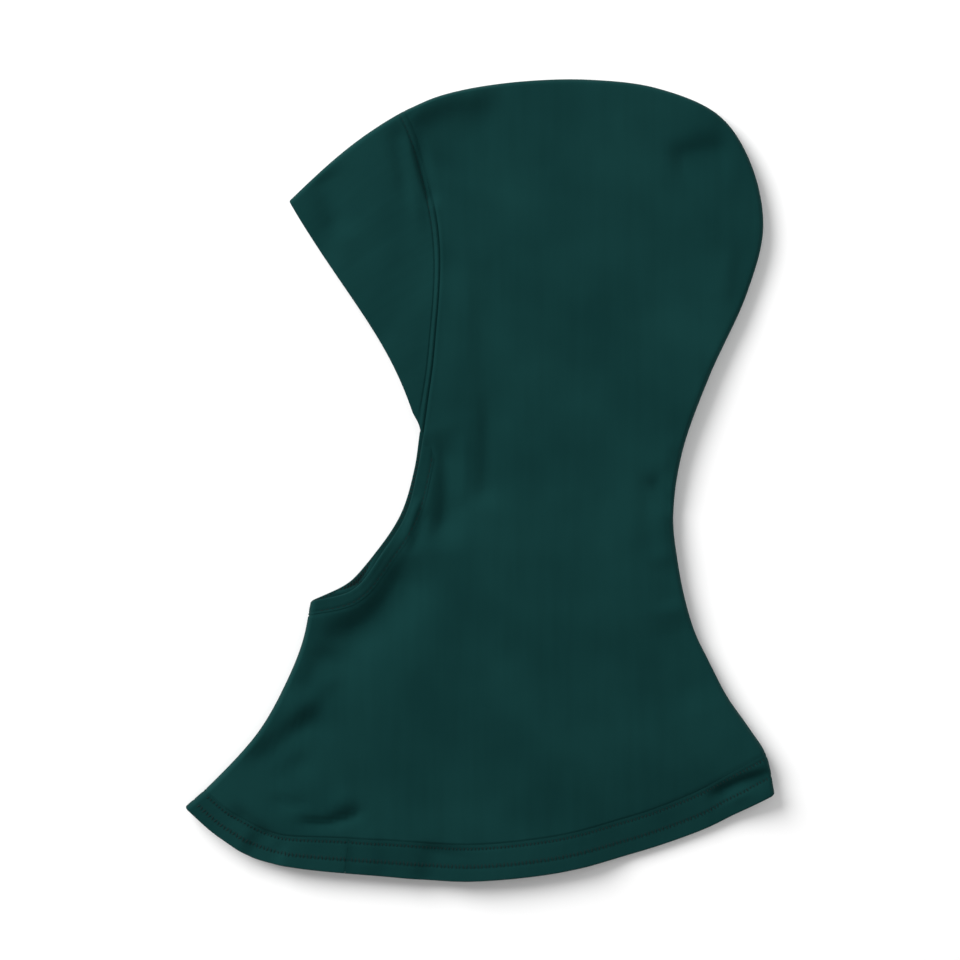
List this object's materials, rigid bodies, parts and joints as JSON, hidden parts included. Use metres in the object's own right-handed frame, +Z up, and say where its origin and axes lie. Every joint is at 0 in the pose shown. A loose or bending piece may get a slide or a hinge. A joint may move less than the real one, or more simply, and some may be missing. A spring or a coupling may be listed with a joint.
{
  "type": "hijab underscarf cap",
  "caption": "Full-cover jersey underscarf cap laid flat on its profile, with a doubled forehead band, bound face opening and curved hem band.",
  "frame": {"origin": "on the surface that the cap lies on, below the middle of its outline", "axes": "+X from the face to the back of the head, +Y from the hem to the crown, +Z up from the surface"},
  "size_m": [0.2938, 0.3992, 0.0121],
  "materials": {
    "jersey": "matt fine stretch knit, dark green",
    "band_jersey": "matt fine stretch knit, doubled, dark green"
  },
  "bodies": {
    "root": {"left_side": "jersey", "right_side": "jersey", "forehead_band": "band_jersey", "face_edge_binding": "band_jersey", "hem_band": "band_jersey"}
  },
  "joints": []
}
